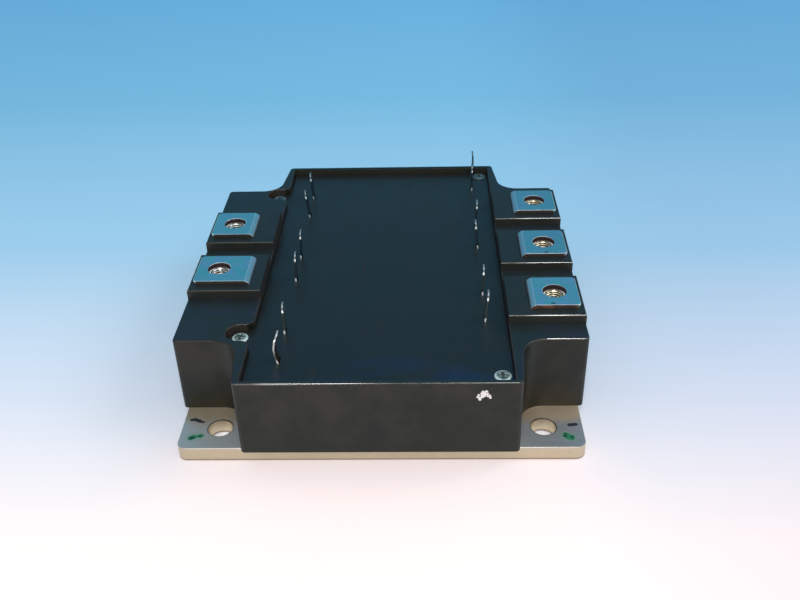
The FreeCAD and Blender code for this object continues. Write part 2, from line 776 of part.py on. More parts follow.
def arched_wire(x, start, end, z, thick, rise):
    """Wire that springs from one chip to the next in a low arch."""
    middle = (start + end) / 2
    low = Part.Arc(Vector(x, start, z), Vector(x, middle, z + rise), Vector(x, end, z))
    high = Part.Arc(
        Vector(x, start - thick, z), Vector(x, middle, z + rise + thick), Vector(x, end + thick, z)
    )
    ends = (
        Part.LineSegment(Vector(x, start - thick, z), Vector(x, start, z)),
        Part.LineSegment(Vector(x, end, z), Vector(x, end + thick, z)),
    )
    edges = Part.sortEdges([curve.toShape() for curve in (low, high) + ends])[0]
    return Part.Face(Part.Wire(edges)).extrude(Vector(thick, 0, 0))


def build_bond_wires():
    """Three wires from each switch chip to its diode chip."""
    wires = []
    thick = number("Sizes.wire_thick")
    z = number("Sizes.base_thick + %s + Sizes.chip_thick" % SUBSTRATE_TOP)
    for tile in range(3):
        middle = number(substrate_place(tile))
        start = middle + number("Sizes.diode_y + Sizes.diode_size / 4")
        end = middle + number("Sizes.switch_y - Sizes.switch_size / 4")
        for side in (-1, 1):
            for step in (-1, 0, 1):
                x = side * number(CHIP_X) + step * number("Sizes.wire_pitch") - thick / 2
                wires.append(arched_wire(x, start, end, z, thick, number("Sizes.wire_rise")))
    feature = doc.addObject("Part::Feature", "bond_wires")
    feature.Shape = Part.makeCompound(wires)
    feature.Label = "bond_wires"
    return feature


def build_gel(case, buried):
    """Soft gel that fills the foot of the hollow round everything in it."""
    floor = number("Sizes.base_thick")
    tall = number("Sizes.gel_height")

    def slab(half_x, half_y):
        return Part.makeBox(2 * half_x, 2 * half_y, tall, Vector(-half_x, -half_y, floor))

    chamber = slab(number(CHAMBER_X), number(CHAMBER_Y))
    bays = slab(number(BAY_X), number(BAY_Y))
    shape = chamber.fuse(bays).removeSplitter().cut([case.Shape] + [item.Shape for item in buried])
    feature = doc.addObject("Part::Feature", "silicone_gel")
    feature.Shape = max(shape.Solids, key=lambda solid: solid.Volume)
    feature.Label = "silicone_gel"
    return feature


base_plate = build_base_plate()
case_frame = build_case_frame()
lid_cover = build_lid_cover()
terminals = [build_terminal(*place) for place in TERMINALS]
nuts = [
    build_captive_nut(name.replace("terminal", "nut"), side, y) for name, side, y, _arm in TERMINALS
]
tabs = [build_signal_tab(*place) for place in tab_places()]
screws = [build_lid_screw(*place) for place in LID_SCREWS]
substrates = [
    build_substrate("ceramic_substrate_" + place, substrate_place(index))
    for index, place in enumerate(("front", "middle", "back"))
]
chips = build_chips()
bond_wires = build_bond_wires()
doc.recompute()
gel = build_gel(case_frame, terminals + tabs + substrates + chips + [bond_wires] + screws)

pieces = [base_plate, case_frame, lid_cover] + terminals + nuts + tabs + screws
pieces += substrates + chips + [bond_wires, gel]
doc.recompute()

for item in doc.Objects:
    if "Invalid" in item.State or "Error" in item.State:
        raise RuntimeError("%s failed: %s" % (item.Name, item.State))
for piece in pieces:
    if piece.Shape.isNull() or not piece.Shape.isValid():
        raise RuntimeError("%s has no valid shape" % piece.Label)

os.makedirs("parts", exist_ok=True)
for piece in pieces:
    piece.Shape.exportStep("parts/%s.step" % piece.Label)
    print(piece.Label, len(piece.Shape.Solids), round(piece.Shape.Volume, 1))
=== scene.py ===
import json
import math

import bmesh
import bpy
from mathutils import Matrix, Vector


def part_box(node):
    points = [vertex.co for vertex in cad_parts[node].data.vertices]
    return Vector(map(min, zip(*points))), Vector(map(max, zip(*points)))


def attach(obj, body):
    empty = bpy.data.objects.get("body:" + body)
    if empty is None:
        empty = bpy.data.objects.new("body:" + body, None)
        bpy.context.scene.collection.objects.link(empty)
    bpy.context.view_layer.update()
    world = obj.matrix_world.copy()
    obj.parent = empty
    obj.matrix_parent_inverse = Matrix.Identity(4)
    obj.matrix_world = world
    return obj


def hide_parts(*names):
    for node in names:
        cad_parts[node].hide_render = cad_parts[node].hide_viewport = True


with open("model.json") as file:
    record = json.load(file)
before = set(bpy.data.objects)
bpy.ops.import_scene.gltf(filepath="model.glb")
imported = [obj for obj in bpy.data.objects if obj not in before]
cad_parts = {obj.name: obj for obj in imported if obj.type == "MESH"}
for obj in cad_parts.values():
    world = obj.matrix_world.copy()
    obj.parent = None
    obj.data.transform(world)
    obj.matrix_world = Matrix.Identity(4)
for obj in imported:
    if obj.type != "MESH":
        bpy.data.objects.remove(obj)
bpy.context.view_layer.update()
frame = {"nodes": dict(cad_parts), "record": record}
nodes = frame["nodes"]
scene = bpy.context.scene

MM = 0.001
SAME_PLACE = 1e-6

# Sockets of a Mix node set to colours, by their place among its inputs and outputs
SHARE_IN, FIRST_IN, SECOND_IN, COLOUR_OUT = 0, 6, 7, 2


def middle(node):
    """X and Y of a CAD node's middle, in millimetres."""
    low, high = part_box(node)
    return (low.x + high.x) / 2 / MM, (low.y + high.y) / 2 / MM


# Pieces and places on the module, with places in millimetres

TERMINALS = (
    "supply_terminal_front", "supply_terminal_back",
    "output_terminal_front", "output_terminal_middle", "output_terminal_back",
)
NUTS = tuple(name.replace("terminal", "nut") for name in TERMINALS)
LID_SCREWS = ("lid_screw_front_left", "lid_screw_back_left", "lid_screw_front_right", "lid_screw_back_right")
TABS = tuple("signal_tab_%s_%d" % (side, count) for side in ("left", "right") for count in range(1, 7))

# Levels of the faces, and the lid seat's edges as distances from the middle
PLATE_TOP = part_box("base_plate")[1].z / MM
LID_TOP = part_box("lid_cover")[1].z / MM
NUT_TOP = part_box(NUTS[0])[1].z / MM
TAB_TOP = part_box(TABS[0])[1].z / MM
CASE_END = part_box("case_frame")[1].y / MM
SHOULDER_TOP = 26.5
TILE_LEVEL = 4.6
SEAT_END = CASE_END - 1.4
SEAT_SIDE = 34.55

# Holes and screws. The base plate and the strips have holes of one radius.
PLATE_HOLE_X = 43.1
PLATE_HOLE_Y = 53.0
PLATE_HOLES = tuple((at_x * PLATE_HOLE_X, at_y * PLATE_HOLE_Y) for at_x in (-1, 1) for at_y in (-1, 1))
HOLE_RADIUS = 3.25
THREAD_RADIUS = 2.5
STRIP_HOLES = tuple(middle(nut) for nut in NUTS)
SCREW_AXES = tuple(middle(screw) for screw in LID_SCREWS)
LID_EARS = SCREW_AXES[:2]

# X and Z of the chips that make up the pale fleck on the front
FLECK_CHIPS = (
    (24.82, 22.02), (25.29, 21.57), (25.05, 22.60), (25.77, 23.14), (26.11, 23.67), (26.54, 23.40),
    (26.94, 23.80), (27.18, 23.04), (27.68, 22.45), (27.91, 21.86), (26.49, 22.41), (26.05, 22.01),
    (25.37, 21.2), (25.8, 22.5), (26.2, 22.9), (26.75, 22.9), (27.3, 22.35), (25.5, 21.9),
)

# Pen strokes on the base plate: the X and Y of both ends, and the width
DARK_STROKES = (
    ((-51.6, -49.55), (-50.7, -49.3), 1.15),
    ((-50.7, -49.3), (-49.3, -50.1), 1.2),
    ((-49.3, -50.2), (-48.2, -50.45), 0.8),
    ((50.1, -52.25), (51.7, -52.05), 1.25),
)
GREEN_STROKES = (
    ((-50.3, -56.85), (-49.6, -56.5), 1.75),
    ((-49.5, -56.4), (-48.4, -56.1), 1.1),
    ((-48.3, -56.1), (-47.8, -56.0), 1.4),
    ((48.5, -55.7), (49.2, -56.3), 1.2),
    ((48.2, -56.6), (48.6, -56.7), 1.2),
    ((49.2, -56.8), (50.1, -57.0), 1.6),
    ((48.9, -57.4), (50.1, -57.9), 1.0),
)
GREEN_POOLS = (
    ((-50.3, -56.85), (-49.9, -56.7), 0.8),
    ((-48.1, -56.1), (-47.95, -56.0), 0.45),
    ((48.2, -56.6), (48.5, -56.65), 0.75),
    ((50.0, -56.9), (50.2, -57.2), 0.75),
    ((48.6, -55.6), (48.8, -55.8), 0.4),
)
GREEN_HALOES = (((-50.4, -56.6), (-48.2, -56.2), 3.4), ((48.6, -56.6), (49.9, -57.2), 3.4))

# Dents in the strips: X and Y of their middles, and how much longer they are along X than along Y
DENTS = ((46.34, -33.5), (47.49, -6.3))
DENT_STRETCH = 1.6


# Shader maths

class Wire:
    """Output of a node in one material. Sums of wires and numbers add Math nodes."""

    def __init__(self, tree, socket=None):
        self.tree = tree
        self.socket = socket

    def node(self, kind, settings=(), inputs=(), output=0):
        """New node in the same material, with its settings made before its sockets are filled."""
        new = self.tree.nodes.new("ShaderNode" + kind)
        for name, value in dict(settings).items():
            if name == "stops":
                spare = len(value) - len(new.color_ramp.elements)
                for _ in range(spare):
                    new.color_ramp.elements.new(1.0)
                for stop, (place, colour) in zip(new.color_ramp.elements, value):
                    stop.position = place
                    stop.color = colour
            else:
                setattr(new, name, value)
        for name, value in dict(inputs).items():
            if isinstance(value, Wire):
                self.tree.links.new(value.socket, new.inputs[name])
            else:
                new.inputs[name].default_value = value
        return Wire(self.tree, new.outputs[output])

    def maths(self, operation, *terms):
        return self.node("Math", {"operation": operation}, dict(enumerate(terms)))

    def __add__(self, other):
        return self.maths("ADD", self, other)

    def __sub__(self, other):
        return self.maths("SUBTRACT", self, other)

    def __rsub__(self, other):
        return self.maths("SUBTRACT", other, self)

    def __mul__(self, other):
        return self.maths("MULTIPLY", self, other)

    def __pow__(self, other):
        return self.maths("POWER", self, other)

    def __abs__(self):
        return self.maths("ABSOLUTE", self)

    __radd__ = __add__
    __rmul__ = __mul__


def srgb(red, green, blue):
    """Colour for a ramp's stop from its eight-bit display values."""
    parts = [value / 255 for value in (red, green, blue)]
    return tuple(v / 12.92 if v <= 0.04045 else ((v + 0.055) / 1.055) ** 2.4 for v in parts) + (1.0,)


def finish(name, **constants):
    """Material with its constant sockets set, and the place on the object as a wire."""
    material = bpy.data.materials.new(name)
    material.use_nodes = True
    shader = material.node_tree.nodes["Principled BSDF"]
    for socket, value in constants.items():
        shader.inputs[socket.replace("_", " ")].default_value = value
    place = Wire(material.node_tree).node("TexCoord", output="Object")
    return material, place


def feed(material, **wires):
    """Link wires to the shader's sockets."""
    shader = material.node_tree.nodes["Principled BSDF"]
    for socket, wire in wires.items():
        material.node_tree.links.new(wire.socket, shader.inputs[socket.replace("_", " ")])


def noise(place, size, detail=4.0, rough=0.55, stretch=(1, 1, 1), twist=0.0):
    """Cloudy value from 0 to 1 with blotches about one size across, in millimetres."""
    scaled = place.node("Mapping", {}, {"Vector": place, "Scale": stretch})
    inputs = {
        "Vector": scaled, "Scale": 1 / (size * MM), "Detail": detail, "Roughness": rough, "Distortion": twist,
    }
    return place.node("TexNoise", {}, inputs)


def ramp(value, low, high, start=0.0, end=1.0):
    """Smooth step of a wire between two values."""
    inputs = {"Value": value, "From Min": low, "From Max": high, "To Min": start, "To Max": end}
    return value.node("MapRange", {"interpolation_type": "SMOOTHSTEP"}, inputs)


def blend(share, first, second):
    """Colour between two, by a wire's share. Each is a wire, or its red, green and blue."""
    first, second = (value if isinstance(value, Wire) else (*value, 1.0) for value in (first, second))
    inputs = {SHARE_IN: share, FIRST_IN: first, SECOND_IN: second}
    return share.node("Mix", {"data_type": "RGBA"}, inputs, COLOUR_OUT)


def larger(first, *others):
    """Larger of several masks, point by point."""
    for other in others:
        first = first.maths("MAXIMUM", first, other)
    return first


def bumps(height, distance, strength=1.0):
    """Relief, with its depth in millimetres."""
    return height.node("Bump", {}, {"Height": height, "Distance": distance * MM, "Strength": strength})


def split(vector):
    """X, Y and Z of a vector as wires."""
    return [vector.node("SeparateXYZ", {}, {"Vector": vector}, axis) for axis in ("X", "Y", "Z")]


def axes(place):
    """X, Y and Z of a place as wires, in millimetres."""
    return [part * (1 / MM) for part in split(place)]


def facing(place):
    """X, Y and Z of the direction that the surface faces."""
    return split(place.node("NewGeometry", output="Normal"))


def nearest(x, y, centres):
    """Distance to the nearest of some upright axes, in millimetres."""
    reach = None
    for at_x, at_y in centres:
        off_x, off_y = x - at_x, y - at_y
        far = (off_x * off_x + off_y * off_y) ** 0.5
        reach = far.maths("MINIMUM", far, reach) if reach else far
    return reach


def stroke(x, y, start, end, width, wander):
    """Mask of a pen stroke between two points, with an uneven edge."""
    length = math.hypot(end[0] - start[0], end[1] - start[1])
    ux, uy = (end[0] - start[0]) / length, (end[1] - start[1]) / length
    run = (x - start[0]) * ux + (y - start[1]) * uy
    beyond = run - run.maths("MAXIMUM", run.maths("MINIMUM", run, length), 0)
    side = (y - start[1]) * ux - (x - start[0]) * uy
    reach = (side * side + beyond * beyond) ** 0.5
    return 1 - ramp(reach + wander, width * 0.42, width * 0.58)


def marks(x, y, strokes, wander):
    """Mask of several pen strokes."""
    return larger(*(stroke(x, y, start, end, width, wander) for start, end, width in strokes))


# Finishes

def case_black():
    """Moulded black plastic: satin, mottled and dusty, with polished edges and a chipped fleck. Painted: a
    sky sheen on its tops, light on its seat walls, highlights along its edges and a dark reflection at the
    rear.
    """
    material, place = finish("case_black", IOR=1.41, Coat_IOR=2.2, Coat_Roughness=0.1)
    x, y, z = axes(place)
    side_y, up = facing(place)[1:]
    cloud = noise(place, 14, 5)
    mottle = noise(place, 5, 5, 0.65)
    grain = noise(place, 0.35, 3, 0.6)
    dust = ramp(noise(place, 1.1, 6, 0.7), 0.6, 0.8) * ramp(noise(place, 22, 3), 0.42, 0.62)
    streaks = noise(place, 0.9, 4, 0.7, (1, 1, 0.12), 0.4)
    scuff = ramp(streaks, 0.62, 0.7) * ramp(noise(place, 9, 2), 0.5, 0.65)
    uneven = 0.6 + mottle * 0.4

    # Faces, by where they are and where they look
    top = ramp(up, 0.9, 0.99)
    rounding = ramp(up, 0.12, 0.45) * (1 - ramp(up, 0.85, 0.985))
    ears = 1 - ramp(nearest(x, y, LID_EARS), 3.9, 4.1)
    between_sides = 1 - ramp(abs(x), SEAT_SIDE - 0.15, SEAT_SIDE + 0.15)
    between_ends = 1 - ramp(abs(y), SEAT_END + 0.1, SEAT_END + 0.3)
    inner = larger(between_sides * between_ends * ramp(z, LID_TOP - 0.2, LID_TOP + 0.1), ears)
    pads = ramp(z, SHOULDER_TOP - 0.2, SHOULDER_TOP + 0.2)
    foot = ramp(z, PLATE_TOP + 6, PLATE_TOP + 0.2) * (1 - top)
    block = ramp(y, 1.1 - CASE_END, 0.6 - CASE_END)
    rear = ramp(y, CASE_END - 2.6, CASE_END - 1.6)

    # Light lines along the rounded edges: polish for the coat, and painted highlights
    front_edge = block * rounding * ramp(side_y, -0.15, -0.35)
    rear_edge = larger(rounding, top) * rear
    front_edge_highlight = front_edge * ramp(abs(x + 25), 7, 2)
    dull = front_edge * ramp(x, -3, 4) * (1 - ramp(x, 8, 34) * 0.5)
    block_line = block * (0.05 + ramp(x, 0.5, -9.5) * 0.6 + ramp(x, -13, -20) * 0.35 + ramp(x, 8, 34) * 0.12)
    right_line = (1 - block) * ramp(x, 37, 45.5) * (1 - ramp(y, -22, -10) * 0.45)
    lines = ramp(side_y, -0.5, -0.68) * (block_line + right_line)
    polish_and_highlight = rounding * (lines + ramp(x, -30, 30, 0.05, 0.1)) * (1 - ears) * (1 - rear)

    # Pale fleck, made of chips with a ragged outline
    ragged = (noise(place, 0.45, 4, 0.7) - 0.5) * 0.585
    on_front = ramp(y, 0.4 - CASE_END, 0.1 - CASE_END)
    fleck = (1 - ramp(nearest(x, z, FLECK_CHIPS) + ragged, 0.3, 0.4)) * on_front

    olive_dark, olive_light = (0.003, 0.0052, 0.0032), (0.0102, 0.0112, 0.0066)
    cloud_warm, cloud_cool = (0.0175, 0.016, 0.0125), (0.0025, 0.0058, 0.0034)
    sheen_green, sheen_blue = (0.0085, 0.0215, 0.018), (0.01, 0.0175, 0.04)
    pad_top_sheen, pad_wall = (0.011, 0.0145, 0.016), (0.02, 0.0225, 0.02)
    foot_brown, lit_seat_brown = (0.0105, 0.01, 0.0055), (0.031, 0.0235, 0.0195)
    lit_rear_olive, rear_reflection_teal = (0.018, 0.018, 0.0135), (0.003, 0.011, 0.011)
    dust_grey, scuff_grey = (0.05, 0.05, 0.044), (0.03, 0.031, 0.028)
    edge_highlight_grey, highlight_white, fleck_white = (0.05, 0.048, 0.042), (0.85, 0.83, 0.82), (0.7, 0.67, 0.64)
    colour = blend(ramp(mottle, 0.3, 0.7), olive_dark, olive_light)
    colour = blend(ramp(cloud, 0.46, 0.62) * 0.75, colour, cloud_warm)
    colour = blend(ramp(cloud, 0.46, 0.34) * 0.7, colour, cloud_cool)
    # Painted reflection: the tops are painted a lighter green-blue sheen, and the pad tops a lighter
    # blue-grey, for the sky they mirror.
    sheen = blend(ramp(mottle, 0.38, 0.6), sheen_green, sheen_blue)
    colour = blend(top * (0.55 + cloud * 0.45), colour, blend(pads, sheen, pad_top_sheen))
    colour = blend(foot * 0.6, colour, foot_brown)
    colour = blend((1 - top) * pads * uneven, colour, pad_wall)
    # Painted light: the seat walls are painted a lighter brown, olive towards the rear.
    colour = blend((1 - top) * inner * uneven, colour, blend(ramp(y, 52, 58), lit_seat_brown, lit_rear_olive))
    colour = blend(dust * 0.3, colour, dust_grey)
    colour = blend(scuff * 0.4, colour, scuff_grey)
    # Painted highlight: the polished edges are painted a lighter grey, and the front edge's left part nearly
    # white.
    colour = blend(polish_and_highlight * ramp(mottle, 0.45, 0.6) * 0.5, colour, edge_highlight_grey)
    colour = blend(front_edge_highlight * 0.3, colour, highlight_white)
    colour = blend(fleck, colour, fleck_white)
    # Painted reflection: the rear rim's rounded edge and top are painted dark teal.
    colour = blend(rear_edge * 0.8, colour, rear_reflection_teal)

    rough = 0.34 + cloud * 0.12 + dust * 0.25 + scuff * 0.2 + fleck * 0.3 - rear_edge * 0.15
    height = grain * 0.25 + noise(place, 2.5, 3) * 0.5 + fleck * 2.0
    straight_up = (0, 0, 1)
    normal = blend(larger(rear_edge, dull * 0.8), bumps(height, 0.02, 0.5), straight_up)
    feed(material, Base_Color=colour, Roughness=rough, Coat_Weight=polish_and_highlight, Normal=normal)
    return material


def lid_black():
    """Smooth black lid, with a gloss that hand marks and dust break up, and blue patches towards its front
    painted as reflection.
    """
    material, place = finish("lid_black", IOR=1.5)
    y = axes(place)[1]
    cloud = noise(place, 20, 5, 0.6)
    smear = ramp(noise(place, 6, 5, 0.6, (1, 0.45, 1), 0.8), 0.48, 0.7)
    dust = ramp(noise(place, 0.8, 6, 0.75), 0.66, 0.8)
    streaks = noise(place, 1.4, 2, 0.4, (1, 0.03, 1), 0.2)
    scratch = ramp(streaks, 0.68, 0.71) * ramp(noise(place, 12, 2), 0.5, 0.6)
    blue = ramp(noise(place, 9, 3, 0.5, (0.4, 1, 1)), 0.44, 0.62) * ramp(y, -40, -60)
    black_dark, black_light = (0.0055, 0.0058, 0.0058), (0.0095, 0.0092, 0.0078)
    front_blue_reflection, dust_grey = (0.0045, 0.01, 0.031), (0.05, 0.055, 0.06)
    colour = blend(cloud, black_dark, black_light)
    # Painted reflection: blue patches towards the front of the lid.
    colour = blend(blue, colour, front_blue_reflection)
    colour = blend(dust * 0.3, colour, dust_grey)
    rough = 0.33 + smear * 0.12 + dust * 0.25 + scratch * 0.2
    height = noise(place, 9, 2) * 0.8 + noise(place, 0.5, 2) * 0.06
    feed(material, Base_Color=colour, Roughness=rough, Normal=bumps(height, 0.03, 0.5))
    return material


def plate_nickel():
    """Dull nickel plate: rolled grain, a painted warm reflection by the case, bare hole walls, pen marks at
    two corners; painted shade on the hole rims, the hole walls' bottom and the sides' foot, and a painted
    highlight along the top of the sides.
    """
    material, place = finish("plate_nickel")
    x, y, z = axes(place)
    flat = ramp(abs(facing(place)[2]), 0.6, 0.95)
    hole = nearest(x, y, PLATE_HOLES)
    grain = noise(place, 0.5, 4, 0.6, (0.05, 1, 1))
    stain = noise(place, 11, 5, 0.6)
    spots = ramp(noise(place, 1.6, 5, 0.7), 0.62, 0.75)
    wander = (noise(place, 0.9, 3, 0.6) - 0.5) * 1.2
    top = ramp(z, PLATE_TOP - 0.2, PLATE_TOP - 0.05)
    rightward = ramp(x, -20, 20)

    # Painted warm reflection on the ground by the case, hole walls, and painted shade on the shaded side of
    # each hole's rim
    warm = ramp(abs(y) + (stain - 0.5) * 7, PLATE_HOLE_Y, PLATE_HOLE_Y - 5.5) * flat
    bore = 1 - ramp(hole, HOLE_RADIUS + 0.02, HOLE_RADIUS + 0.08)
    shaded = ramp(PLATE_HOLE_Y - abs(y) + (abs(x) - PLATE_HOLE_X) * 0.5, -1.8, 1.2)
    around = 1 - ramp(hole + wander * 0.1, HOLE_RADIUS + 0.15, HOLE_RADIUS + 0.5)
    rim = around * (0.35 + shaded * 0.65) * top

    dark = marks(x, y, DARK_STROKES, wander * 0.7) * top
    green = marks(x, y, GREEN_STROKES, wander * 0.7) * top
    pools = marks(x, y, GREEN_POOLS, wander * 0.6) * top
    haloes = marks(x, y, GREEN_HALOES, wander) * top
    ink = larger(dark, green)

    grey_dark, grey_light = (0.48, 0.49, 0.48), (0.58, 0.59, 0.58)
    right_dark, right_light = (0.26, 0.28, 0.29), (0.44, 0.44, 0.46)
    warm_reflection_dark, warm_reflection_left, warm_reflection_right = (0.38, 0.32, 0.22), (0.56, 0.45, 0.32), (0.84, 0.62, 0.44)
    side_dark, side_light, side_pale = (0.58, 0.48, 0.33), (0.75, 0.61, 0.435), (0.66, 0.6, 0.56)
    foot_brown, spot_grey, rim_brown = (0.2, 0.12, 0.07), (0.4, 0.36, 0.29), (0.035, 0.024, 0.01)
    wall_bright, wall_brown = (0.8, 0.68, 0.5), (0.42, 0.3, 0.2)
    halo_green, pen_green, pool_green = (0.1, 0.5, 0.26), (0.012, 0.15, 0.07), (0.003, 0.03, 0.02)
    pen_black = (0.012, 0.014, 0.02)
    colour = blend(stain, grey_dark, grey_light)
    colour = blend(ramp(x, 25, 47), colour, blend(grain, right_dark, right_light))
    # Painted reflection: warm tint on the ground by the case.
    colour = blend(warm, colour, blend(stain, warm_reflection_dark, blend(rightward, warm_reflection_left, warm_reflection_right)))
    colour = blend(1 - flat, colour, blend(stain, side_dark, side_light))
    # Painted highlight: a pale band along the top of the sides.
    colour = blend(ramp(z, PLATE_TOP - 0.9, PLATE_TOP - 0.3) * (1 - flat) * stain, colour, side_pale)
    # Painted shadow: a brown contact shadow along the foot of the sides.
    colour = blend(ramp(z + wander * 0.2, 0.5, 0.1) * 0.7, colour, foot_brown)
    colour = blend(spots * 0.3, colour, spot_grey)
    # The hole walls are bare copper with spots; the brown towards their bottom is painted shade.
    colour = blend(bore, colour, blend(larger(spots, ramp(z, 0.6, 0.25)), wall_bright, wall_brown))
    # Painted shade around the holes' rims.
    colour = blend(rim * 0.85, colour, rim_brown)
    colour = blend(haloes * 0.2, colour, halo_green)
    colour = blend(green, colour, pen_green)
    colour = blend(pools, colour, pool_green)
    colour = blend(dark, colour, pen_black)

    metal = (0.95 - flat * 0.22) * (1 - ink)
    rough = 0.38 + stain * 0.1 + grain * 0.08 + spots * 0.1
    height = grain * 0.6 + spots * 0.5 - ink * 0.4
    feed(material, Base_Color=colour, Metallic=metal, Roughness=rough, Normal=bumps(height, 0.012, 0.5))
    return material


def strip_nickel():
    """Bright plated strip with tarnished copper on its cut faces and in its hole, painted shade on the hole's
    wall, painted highlights on its front and hole edges, and dents painted as dark spots.
    """
    material, place = finish("strip_nickel")
    x, y = axes(place)[:2]
    side_x, side_y, up = facing(place)
    outward = side_x * x.maths("SIGN", x)
    hole = nearest(x, y, STRIP_HOLES)
    grain = noise(place, 0.35, 3, 0.6, (0.06, 1, 1))
    haze = noise(place, 4.5, 4, 0.6)
    tint = noise(place, 3.2, 5, 0.65, twist=0.6)
    rosy = ramp(noise(place, 2.6, 4, 0.6), 0.52, 0.66)

    # Cut faces, the inner bend and the eased edges
    front = ramp(abs(side_y), 0.86, 0.96)
    bore = (1 - ramp(hole, HOLE_RADIUS + 0.02, HOLE_RADIUS + 0.05)) * ramp(up, 0.6, 0.3)
    cut = larger(front, ramp(outward, 0.86, 0.96), bore)
    bend = ramp(outward, -0.12, -0.4) * ramp(up, 0.2, 0.4)
    edge = ramp(up, 0.25, 0.45) * (1 - ramp(up, 0.93, 0.985)) * (1 - bend)
    front_edge = edge * ramp(side_y, -0.2, -0.45)
    hole_edge = edge * (1 - ramp(hole, HOLE_RADIUS + 0.17, HOLE_RADIUS + 0.21))
    dent_centres = tuple((at_x, at_y * DENT_STRETCH) for at_x, at_y in DENTS)
    dent = 1 - ramp(nearest(x, y * DENT_STRETCH, dent_centres), 0.5, 0.8)

    silver_dark, silver_light = (0.56, 0.66, 0.7), (0.68, 0.72, 0.78)
    mint, rose, shaded_grey = (0.38, 0.78, 0.64), (0.82, 0.68, 0.88), (0.34, 0.48, 0.5)
    cut_dark, cut_light, bare_copper = (0.028, 0.024, 0.022), (0.05, 0.038, 0.03), (0.15, 0.065, 0.034)
    wall_brown, hole_edge_highlight_grey = (0.045, 0.026, 0.03), (0.36, 0.5, 0.52)
    edge_highlight_left, edge_highlight_right = (0.27, 0.44, 0.48), (0.56, 0.57, 0.6)
    bend_grey, dent_shade_blue = (0.66, 0.6, 0.68), (0.05, 0.14, 0.22)
    colour = blend(haze, silver_dark, silver_light)
    colour = blend(ramp(tint, 0.42, 0.6) * 0.65, colour, mint)
    colour = blend(rosy * 0.6, colour, rose)
    colour = blend(ramp(x, 20, 40) * ramp(y, -20, -5) * 0.32, colour, shaded_grey)
    showing = ramp(tint, 0.4, 0.62) * ramp(x, 30, 40) * ramp(y, -18, -24)
    copper = blend(showing, blend(haze, cut_dark, cut_light), bare_copper)
    # The hole's wall is tarnished copper, painted a darker brown as shade inside the hole.
    colour = blend(cut, colour, blend(bore, copper, wall_brown))
    # Painted highlight: the front-facing eased edges are painted lighter, teal-grey on the left and whitish
    # on the right.
    colour = blend(front_edge, colour, blend(ramp(x, -20, 20), edge_highlight_left, edge_highlight_right))
    # Painted highlight: a pale ring on the hole's eased edge.
    colour = blend(hole_edge, colour, hole_edge_highlight_grey)
    colour = blend(bend * 0.4, colour, bend_grey)
    # Painted shade: each dent is drawn only as a dark blue spot.
    colour = blend(dent * 0.85, colour, dent_shade_blue)

    metal = 1 - larger(cut * 0.75, edge * 0.8)
    rough = 0.2 + haze * 0.12 + cut * 0.25 + edge * 0.3 + bend * 0.1
    relief = bumps(grain + haze * 0.6, 0.008, 0.35)
    feed(material, Base_Color=colour, Metallic=metal, Roughness=rough, Normal=relief)
    return material


def tab_tin():
    """Tinned tab, tarnished dark, with painted highlights below its tip and at its foot. The front left one
    carries a painted highlight along its front.
    """
    material, place = finish("tab_tin")
    x, y, z = axes(place)
    side_x = facing(place)[0]
    haze = noise(place, 1.4, 4, 0.6)
    level = z + haze * 0.4
    flat = ramp(abs(side_x), 0.5, 0.8)
    far = ramp(y, -38, 45)
    front_left_glint = ramp(x, -15, -20) * ramp(y, -44, -48)
    last = ramp(x, 15, 20) * ramp(y, 50, 54)

    crown = ramp(level, TAB_TOP - 1.3, TAB_TOP - 0.6) * (1 - last) * (1 - flat)
    tip = ramp(level, TAB_TOP - 2.4, TAB_TOP - 2.0) * (1 - crown) * (1 - last)
    pinch = ramp(level, TAB_TOP - 1.3, TAB_TOP - 2.0) * (1 - last)
    foot = ramp(z, LID_TOP + 1.2, LID_TOP + 0.9) * (1 - last)
    waist = ramp(abs(z - (LID_TOP + 2.8)), 1.0, 0.7) * last
    # Painted highlights: bright tin below the tip, at the foot, at the middle of the last tab and along the
    # front left tab.
    bright = larger(tip, foot, waist, front_left_glint * ramp(z, 26.2, 29.5, 0.2, 0.85)) * (1 - flat)

    front_dark, front_light = (0.1, 0.15, 0.14), (0.22, 0.27, 0.25)
    far_dark, far_light, far_shine = (0.025, 0.06, 0.09), (0.06, 0.11, 0.15), (0.26, 0.3, 0.32)
    last_teal, side_brown, crown_grey = (0.03, 0.075, 0.09), (0.12, 0.07, 0.052), (0.12, 0.17, 0.2)
    shine_dark, shine_light = (0.68, 0.68, 0.66), (0.86, 0.87, 0.86)
    colour = blend(haze, front_dark, front_light)
    colour = blend(ramp(y, -40, 5), colour, blend(haze, far_dark, far_light))
    colour = blend(last, colour, last_teal)
    colour = blend(flat * front_left_glint, colour, side_brown)
    # The painted highlight is dimmer and bluer on the far tabs.
    shine = blend(far * 0.85, blend(haze, shine_dark, shine_light), far_shine)
    colour = blend(bright, colour, shine)
    colour = blend(crown * 0.8, colour, crown_grey)

    metal = 0.92 - larger(bright, crown) * 0.72 - (1 - bright) * last * 0.5
    height = haze * 0.004 + pinch * (0.42 - far * 0.1)
    feed(material, Base_Color=colour, Metallic=metal, Roughness=0.3 + haze * 0.14, Normal=bumps(height, 1.0))
    return material


